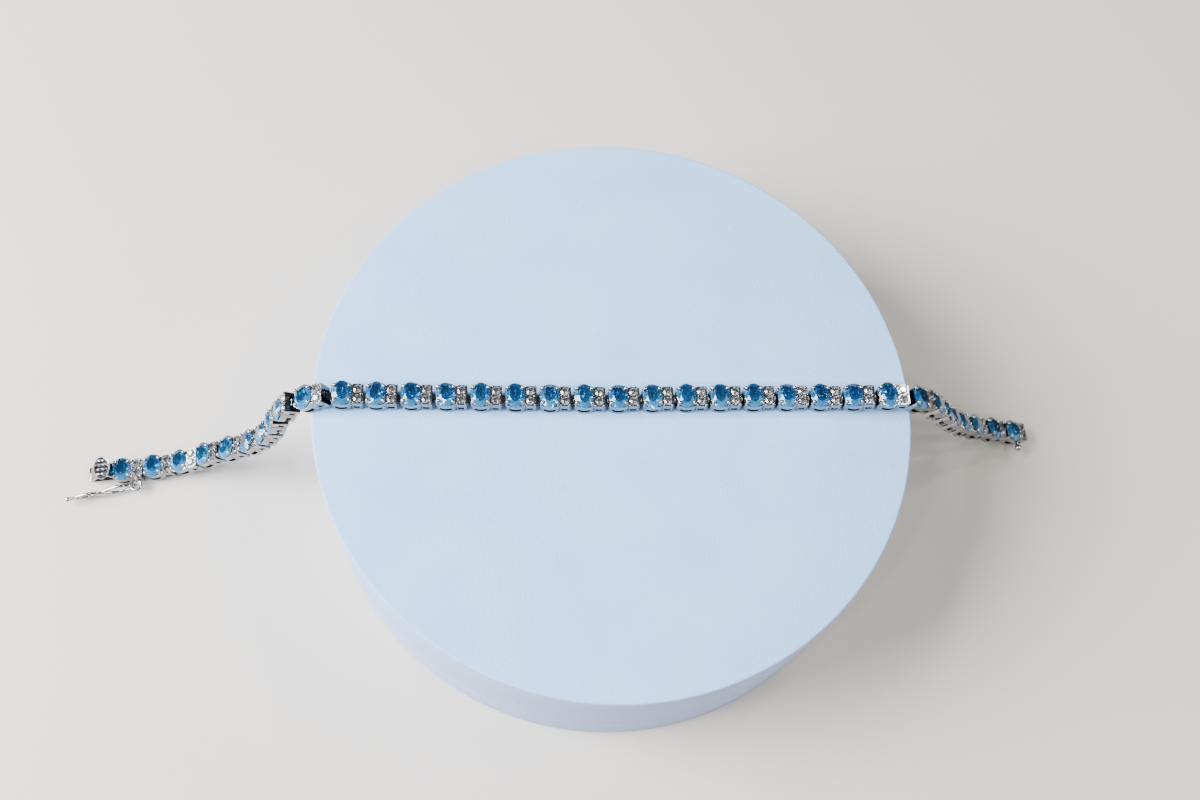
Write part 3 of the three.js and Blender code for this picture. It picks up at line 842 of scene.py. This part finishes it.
def thumb_piece():
    """An oval disc with a raised rim, and rows of four-sided teeth in its recess."""
    bm = bmesh.new()
    turns = [2 * math.pi * i / THUMB_STEPS for i in range(THUMB_STEPS)]
    rings = [[bm.verts.new((CREST_X + THUMB_LENGTH / 2 * share * math.cos(a),
                            THUMB_WIDTH / 2 * share * math.sin(a), CREST_Z + z)) for a in turns]
             for share, z in THUMB_PROFILE]
    bm.faces.new(rings[0][::-1])
    for low, high in zip(rings, rings[1:]):
        for i in range(THUMB_STEPS):
            after = (i + 1) % THUMB_STEPS
            bm.faces.new((low[i], low[after], high[after], high[i]))
    bm.faces.new(rings[-1])
    pitch = THUMB_WIDTH / (RIBS + 1)
    for rib in range(1, RIBS + 1):
        y = rib * pitch - THUMB_WIDTH / 2
        reach = THUMB_LENGTH / 2 * RIM_SHARE * math.sqrt(1 - (2 * y / THUMB_WIDTH) ** 2)
        step = 2 * reach / TEETH
        for tooth in range(TEETH):
            x = CREST_X - reach + step * (tooth + 0.5)
            place = Matrix.Translation((x, y, CREST_Z + TOOTH_MIDDLE)) @ Matrix.Diagonal(
                (step * TOOTH_SHARES[0], pitch * TOOTH_SHARES[1], TOOTH_HEIGHT, 1))
            bmesh.ops.create_cone(bm, cap_ends=True, segments=4, radius1=TOOTH_RADII[0],
                                  radius2=TOOTH_RADII[1], depth=1.0,
                                  matrix=place @ Matrix.Rotation(math.pi / 4, 4, "Z"))
    return finished_object(bm, "thumb_piece")


thumb = thumb_piece()
# Painted shade in the recess between the teeth.
mark_faces(thumb, "tarnish", lambda centre, normal: normal.z > UPWARD and centre.z < RECESS_TOP)
print("faces of the thumb piece:", len(thumb.data.polygons))

# %% [markdown]
# ## Wire parts
# The safety catch is a figure-eight of hard wire, and it turns in a ring soldered to the first link. A
# bent wire is a section that follows a path, so its middle line is a curve and a second tree sweeps a
# round section along it. The line is in the frame of the link, and the finished wire is then placed.

# %% The tree that makes wire from a curve
wire_tree = bpy.data.node_groups.new("wire_along_curve", "GeometryNodeTree")
wire_tree.interface.new_socket("Line", in_out="INPUT", socket_type="NodeSocketGeometry")
wire_tree.interface.new_socket("Radius", in_out="INPUT", socket_type="NodeSocketFloat")
wire_tree.interface.new_socket("Sides", in_out="INPUT", socket_type="NodeSocketInt")
wire_tree.interface.new_socket("Material", in_out="INPUT", socket_type="NodeSocketMaterial")
wire_tree.interface.new_socket("Wire", in_out="OUTPUT", socket_type="NodeSocketGeometry")
given = add(wire_tree, "NodeGroupInput").outputs
line = add(wire_tree, "GeometryNodeMeshToCurve", inputs={"Mesh": given["Line"]})
section = add(wire_tree, "GeometryNodeCurvePrimitiveCircle", inputs={
    "Resolution": given["Sides"], "Radius": given["Radius"]})
swept = add(wire_tree, "GeometryNodeCurveToMesh", inputs={
    "Curve": line.outputs["Curve"], "Profile Curve": section.outputs["Curve"], "Fill Caps": True})
real = add(wire_tree, "GeometryNodeRealizeInstances", inputs={"Geometry": swept.outputs["Mesh"]})
coated = add(wire_tree, "GeometryNodeSetMaterial", inputs={
    "Geometry": real.outputs["Geometry"], "Material": given["Material"]})
add(wire_tree, "NodeGroupOutput", inputs={"Wire": coated.outputs["Geometry"]})

print("nodes in the tree:", len(wire_tree.nodes))

# %% Wire from a line of points
WIRE_SIDES = 14
WIRE_SMOOTH_BELOW = 60


def wire(name, points, radius, place, closed=True):
    """Wire of that radius along points in millimetres, set in place."""
    mesh = bpy.data.meshes.new(name)
    count = len(points)
    edges = [(i, (i + 1) % count) for i in range(count if closed else count - 1)]
    mesh.from_pydata([(place @ Vector(p)) * MM for p in points], edges, [])
    made = bpy.data.objects.new(name, mesh)
    bpy.context.scene.collection.objects.link(made)
    modifier = made.modifiers.new("wire", "NODES")
    modifier.node_group = wire_tree
    values = {"Radius": radius * MM, "Sides": WIRE_SIDES, "Material": silver}
    for item in wire_tree.interface.items_tree:
        if item.in_out == "INPUT" and item.name in values:
            modifier[item.identifier] = values[item.name]
    return plain_mesh(made, WIRE_SMOOTH_BELOW)


# %% Ring, catch and ball post
WIRE_RADIUS = 0.27
RING_WIRE = 0.22
RING_CLEARANCE = 0.3
RING_RADIUS = WIRE_RADIUS + RING_CLEARANCE + RING_WIRE
RING_STEPS = 32
HINGE = Vector((PAIR_X - 0.2, -2.725, 1.4))
RING_STEM = {"root_y": -1.3, "radius": 0.25}
CATCH_LENGTH = 11.1
CATCH_WAIST = 0.465 * CATCH_LENGTH
CATCH_NECK = 0.91 * CATCH_LENGTH
CATCH_OPEN = math.radians(7)
CATCH_STEPS = 40
CROSSING_OUT = 0.7
HINGE_LOOP_HALF = 0.86
HINGE_LOOP_POWERS = (0.6, 1.2)
SNAP_LOOP_HALF = 0.95
SNAP_LOOP_POWERS = (1.2, 0.7)
KNOB_RADIUS = 0.447
BALL = Vector((OVAL_END, -2.775, 1.4))
BALL_RADIUS = 0.6
BALL_STEM = {"root_y": -1.35, "radius": 0.26}
BALL_MESH = {"flat": 1.0, "sides": 24, "rings": 14}


def loop_half(half, powers, part):
    """Half the height of a loop at a share of its length. The powers make one end blunt."""
    return half * max(math.sin(math.pi * part), 0) ** (powers[0] + (powers[1] - powers[0]) * part)


def figure_eight():
    """One closed line in the XZ plane whose two strands cross at the waist."""
    waist = CATCH_WAIST / CATCH_NECK
    upper = []
    for i in range(CATCH_STEPS + 1):
        share = (1 - math.cos(math.pi * i / CATCH_STEPS)) / 2
        if share < waist:
            z = loop_half(HINGE_LOOP_HALF, HINGE_LOOP_POWERS, share / waist)
        else:
            z = -loop_half(SNAP_LOOP_HALF, SNAP_LOOP_POWERS, (share - waist) / (1 - waist))
        upper.append((-CATCH_NECK * share, WIRE_RADIUS * CROSSING_OUT * math.sin(math.pi * share), z))
    lower = [(x, -y, -z) for x, y, z in upper[-2:0:-1]]
    return upper + lower


first, last = link_places[0], link_places[-1]
ring_line = [HINGE + Vector((RING_RADIUS * math.cos(a), RING_RADIUS * math.sin(a), 0)) for a in
             [2 * math.pi * i / RING_STEPS for i in range(RING_STEPS)]]
catch_ring = wire("catch_ring", ring_line, RING_WIRE, first)
ring_stem = wire("ring_stem", [HINGE + Vector((0, RING_RADIUS, 0)), (HINGE.x, RING_STEM["root_y"], HINGE.z)],
                 RING_STEM["radius"], first, closed=False)
ball_stem = wire("ball_stem", [BALL, (BALL.x, BALL_STEM["root_y"], BALL.z)], BALL_STEM["radius"], last,
                 closed=False)

catch_place = first @ Matrix.Translation(HINGE) @ Matrix.Rotation(CATCH_OPEN, 4, "Z")
eight_wire = wire("eight_wire", figure_eight(), WIRE_RADIUS, catch_place)
neck_wire = wire("neck_wire", [(-CATCH_NECK, 0, 0), (-CATCH_LENGTH, 0, 0)], WIRE_RADIUS, catch_place,
                 closed=False)


def ball_at(name, centre, radius, place):
    """A silver ball with its centre in the frame of that place."""
    bm = bmesh.new()
    bead(bm, centre, radius, **BALL_MESH)
    bmesh.ops.transform(bm, matrix=place, verts=bm.verts)
    made = finished_object(bm, name)
    made.data.materials.append(silver)
    return made


catch_knob = ball_at("catch_knob", (-CATCH_LENGTH, 0, 0), KNOB_RADIUS, catch_place)
post_ball = ball_at("post_ball", BALL, BALL_RADIUS, last)
print("catch hinge in mm:", [round(v, 2) for v in first @ HINGE])

# %% Gather the clasp
for piece in (tongue, thumb):
    piece.data.transform(Matrix.Diagonal((1 / MM, 1 / MM, 1 / MM, 1)))
    piece.data.transform(first)
    piece.data.transform(Matrix.Diagonal((MM, MM, MM, 1)))
    piece.data.materials.append(silver)
clasp_metal = joined("clasp_metal", [tongue, thumb, catch_ring, ring_stem, ball_stem, post_ball])
safety_catch = joined("safety_catch_wire", [eight_wire, neck_wire, catch_knob])
print("faces:", len(clasp_metal.data.polygons), len(safety_catch.data.polygons))

# %% [markdown]
# ## Plinth
# A disc of cast plaster with a pale blue wash on its face. The face is matte and finely grained with a
# few darker specks, and the wall is greyer and keeps faint level lines from the mould. A turned profile
# gives the form, finer than the frame's, and noise on several real scales gives the grain. The faces of
# the wall carry a mark, so that one material can tell the bare wall from the washed face.

# %% Turned disc
EDGE_RADIUS = 0.35
EDGE_STEPS = 5
FOOT_CHAMFER = 0.3
TURNS = 192
WALL_RINGS = (0.25, 0.5, 0.75)
FACE_RINGS = (0.7, 0.35)
WALL_FACING = 0.5


def plinth_disc():
    """The disc, turned from its profile."""
    bm = bmesh.new()
    profile = [(0, 0), (PLINTH_RADIUS - FOOT_CHAMFER, 0), (PLINTH_RADIUS, FOOT_CHAMFER)]
    profile += [(PLINTH_RADIUS, PLINTH_HEIGHT * share) for share in WALL_RINGS]
    for i in range(EDGE_STEPS + 1):
        angle = i / EDGE_STEPS * math.pi / 2
        profile.append((PLINTH_RADIUS - EDGE_RADIUS * (1 - math.cos(angle)),
                        PLINTH_HEIGHT - EDGE_RADIUS * (1 - math.sin(angle))))
    profile += [(PLINTH_RADIUS * share, PLINTH_HEIGHT) for share in FACE_RINGS] + [(0, PLINTH_HEIGHT)]
    points = [bm.verts.new((r, 0, z)) for r, z in profile]
    edges = [bm.edges.new(pair) for pair in zip(points, points[1:])]
    bmesh.ops.spin(bm, geom=points + edges, cent=(0, 0, 0), axis=(0, 0, 1), angle=2 * math.pi,
                   steps=TURNS, use_duplicate=False)
    return finished_object(bm, "plinth_disc")


plinth = plinth_disc()
mark_faces(plinth, "bare", lambda centre, normal: abs(normal.z) < WALL_FACING)
print("plinth faces:", len(plinth.data.polygons))

# %% Cast plaster
GRAIN = 0.35
GRAIN_DEPTH = 0.12
CLOUD = 14.0
SPECK = 2.4
MOULD_LINE = 1.3
MOULD_LINE_DEPTH = 0.25
MOULD_LINE_LENGTH = 50.0
FACE_WASH = "#9bc6fb", "#a2d3ff"
SPECK_TINT = "#a9b4c2", "#ffffff"
BARE_WALL = "#a6bbe3", "#b4c9ed"


def ramp(tree, value, tints, positions):
    """A colour ramp between two tints."""
    node = add(tree, "ShaderNodeValToRGB", inputs={"Fac": value})
    for element, tint, position in zip(node.color_ramp.elements, tints, positions):
        element.position = position
        element.color = colour(tint)
    return node.outputs["Color"]


plaster, tree, shader = start_material("cast_plaster", {"Roughness": 0.88})
where = add(tree, "ShaderNodeTexCoord").outputs["Object"]
grain = add(tree, "ShaderNodeTexNoise", inputs={"Vector": where, "Scale": 1 / (GRAIN * MM), "Detail": 4.0})
cloud = add(tree, "ShaderNodeTexNoise", inputs={"Vector": where, "Scale": 1 / (CLOUD * MM), "Detail": 2.0})
speck = add(tree, "ShaderNodeTexVoronoi", inputs={"Vector": where, "Scale": 1 / (SPECK * MM)})
level = add(tree, "ShaderNodeMapping", inputs={"Vector": where, "Scale": (
    1 / (MOULD_LINE_LENGTH * MM), 1 / (MOULD_LINE_LENGTH * MM), 1 / (MOULD_LINE * MM))})
lines = add(tree, "ShaderNodeTexNoise", inputs={"Vector": level.outputs[0], "Scale": 1.0, "Detail": 2.0})
faced = add(tree, "ShaderNodeMixRGB", {"blend_type": "MULTIPLY"}, {
    "Fac": 0.5, "Color1": ramp(tree, cloud.outputs["Fac"], FACE_WASH, (0.3, 0.7)),
    "Color2": ramp(tree, speck.outputs["Distance"], SPECK_TINT, (0.035, 0.07))})
bare = add(tree, "ShaderNodeAttribute", {"attribute_name": "bare"})
coated = add(tree, "ShaderNodeMixRGB", inputs={
    "Fac": bare.outputs["Fac"], "Color1": faced.outputs["Color"],
    "Color2": ramp(tree, lines.outputs["Fac"], BARE_WALL, (0.35, 0.65))})
tree.links.new(coated.outputs["Color"], shader.inputs["Base Color"])
grained = add(tree, "ShaderNodeBump", inputs={"Height": grain.outputs["Fac"], "Strength": 0.6,
                                              "Distance": GRAIN_DEPTH * MM})
lined = add(tree, "ShaderNodeBump", inputs={"Height": lines.outputs["Fac"], "Strength": 0.5,
                                            "Distance": MOULD_LINE_DEPTH * MM,
                                            "Normal": grained.outputs["Normal"]})
tree.links.new(lined.outputs["Normal"], shader.inputs["Normal"])
plinth.data.materials.append(plaster)
print("made", plaster.name)

# %% [markdown]
# ## Join the pieces to the frame
# Each piece rides on the body that its nodes belong to and stands for those nodes. The parts that were
# only copied along the chain are taken away.

# %% Ride on the bodies and hide the frame's parts
for spare in (basket, claw_set, bead_set, lug, pin, oval_stone, round_stone):
    bpy.data.objects.remove(spare)
for piece, slot in ((chain_metal, "silver"), (chain_claws, "silver"), (clasp_metal, "silver"),
                    (oval_stones, "blue_stone"), (round_stones, "white_stone"), (plinth, "plaster")):
    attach(piece, ROOT)
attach(safety_catch, "safety_catch")
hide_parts(*LINK_NODES)
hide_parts("plinth")
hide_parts("safety_catch")

# %% [markdown]
# ## Floor, light and camera
# A plain cream table top in a dim neutral room. One broad soft window stands on the left and throws the
# plinth's shadow to the right, and a weak warm bounce comes back from the right. A ring of eight small
# soft boxes overhead adds little light, but the polished claws and the facets mirror them as sparks.
# The camera looks down at the plinth as the photo does.

# %% Table top
FLOOR_SIZE = 1200
MOTTLE = 60
TABLE_PAINT = "#d7cfc5", "#dcd5ca"
bm = bmesh.new()
bmesh.ops.create_grid(bm, x_segments=1, y_segments=1, size=FLOOR_SIZE)
table_top = finished_object(bm, "table_top", smooth_below=None)
cream, tree, shader = start_material("painted_table_top", {"Roughness": 0.7})
where = add(tree, "ShaderNodeTexCoord").outputs["Object"]
mottle = add(tree, "ShaderNodeTexNoise", inputs={"Vector": where, "Scale": 1 / (MOTTLE * MM), "Detail": 3.0})
tree.links.new(ramp(tree, mottle.outputs["Fac"], TABLE_PAINT, (0.0, 1.0)), shader.inputs["Base Color"])
table_top.data.materials.append(cream)
print("made", cream.name)

# %% Light
WINDOW = {"place": (-480, -30, 350), "size": 420, "power": 15.0, "shade": "#f6f8ff"}
BOUNCE = {"place": (500, -70, 240), "size": 300, "power": 0.5, "shade": "#ffe4d2"}
SOFTBOX = {"size": 38, "power": 0.27, "shade": "#ffffff"}
SOFTBOX_RADIUS = 260
SOFTBOX_HEIGHT = 430
SOFTBOX_HEADINGS = (0, 40, 135, 180, 225, 270, 300, 330)
ROOM_TINT = "#a0a3a6"
ROOM_STRENGTH = 0.32


def soft_light(name, place, size, power, shade):
    """A round area light at a place, turned towards the middle of the table."""
    lamp = bpy.data.lights.new(name, "AREA")
    lamp.shape = "DISK"
    lamp.size = size * MM
    lamp.energy = power
    lamp.color = colour(shade)[:3]
    made = bpy.data.objects.new(name, lamp)
    made.location = Vector(place) * MM
    made.rotation_euler = (-Vector(place)).to_track_quat("-Z", "Y").to_euler()
    bpy.context.scene.collection.objects.link(made)


soft_light("window", **WINDOW)
soft_light("bounce", **BOUNCE)
for number, turn in enumerate(SOFTBOX_HEADINGS):
    heading = math.radians(turn)
    soft_light(f"softbox_{number}", (SOFTBOX_RADIUS * math.cos(heading), SOFTBOX_RADIUS * math.sin(heading),
                                     SOFTBOX_HEIGHT), **SOFTBOX)
world = bpy.data.worlds.new("room")
bpy.context.scene.world = world
world.use_nodes = True
world.node_tree.nodes["Background"].inputs["Color"].default_value = colour(ROOM_TINT)
world.node_tree.nodes["Background"].inputs["Strength"].default_value = ROOM_STRENGTH

# %% Camera at the photo's angle
SENSOR_WIDTH = 36
FOCAL_LENGTH = 37.5
CLIP_START = 10
camera_data = bpy.data.cameras.new("camera")
camera = bpy.data.objects.new("camera", camera_data)
bpy.context.scene.collection.objects.link(camera)
camera_data.sensor_width = SENSOR_WIDTH
camera_data.lens = FOCAL_LENGTH
camera_data.clip_start = CLIP_START * MM
CAMERA_PLACE = Vector((-17.10, -73.52, 204.69))
CAMERA_LOOK = Vector((0.0762, 0.3824, -0.9208)).normalized()
CAMERA_UP = Vector((-0.0046, 0.9237, 0.3832))
right = CAMERA_LOOK.cross(CAMERA_UP).normalized()
up = right.cross(CAMERA_LOOK)
camera.matrix_world = Matrix.Translation(CAMERA_PLACE * MM) @ Matrix(
    (right, up, -CAMERA_LOOK)).transposed().to_4x4()
bpy.context.scene.camera = camera
print("camera", [round(v, 1) for v in CAMERA_PLACE])

# %% Update the scene
bpy.context.view_layer.update()
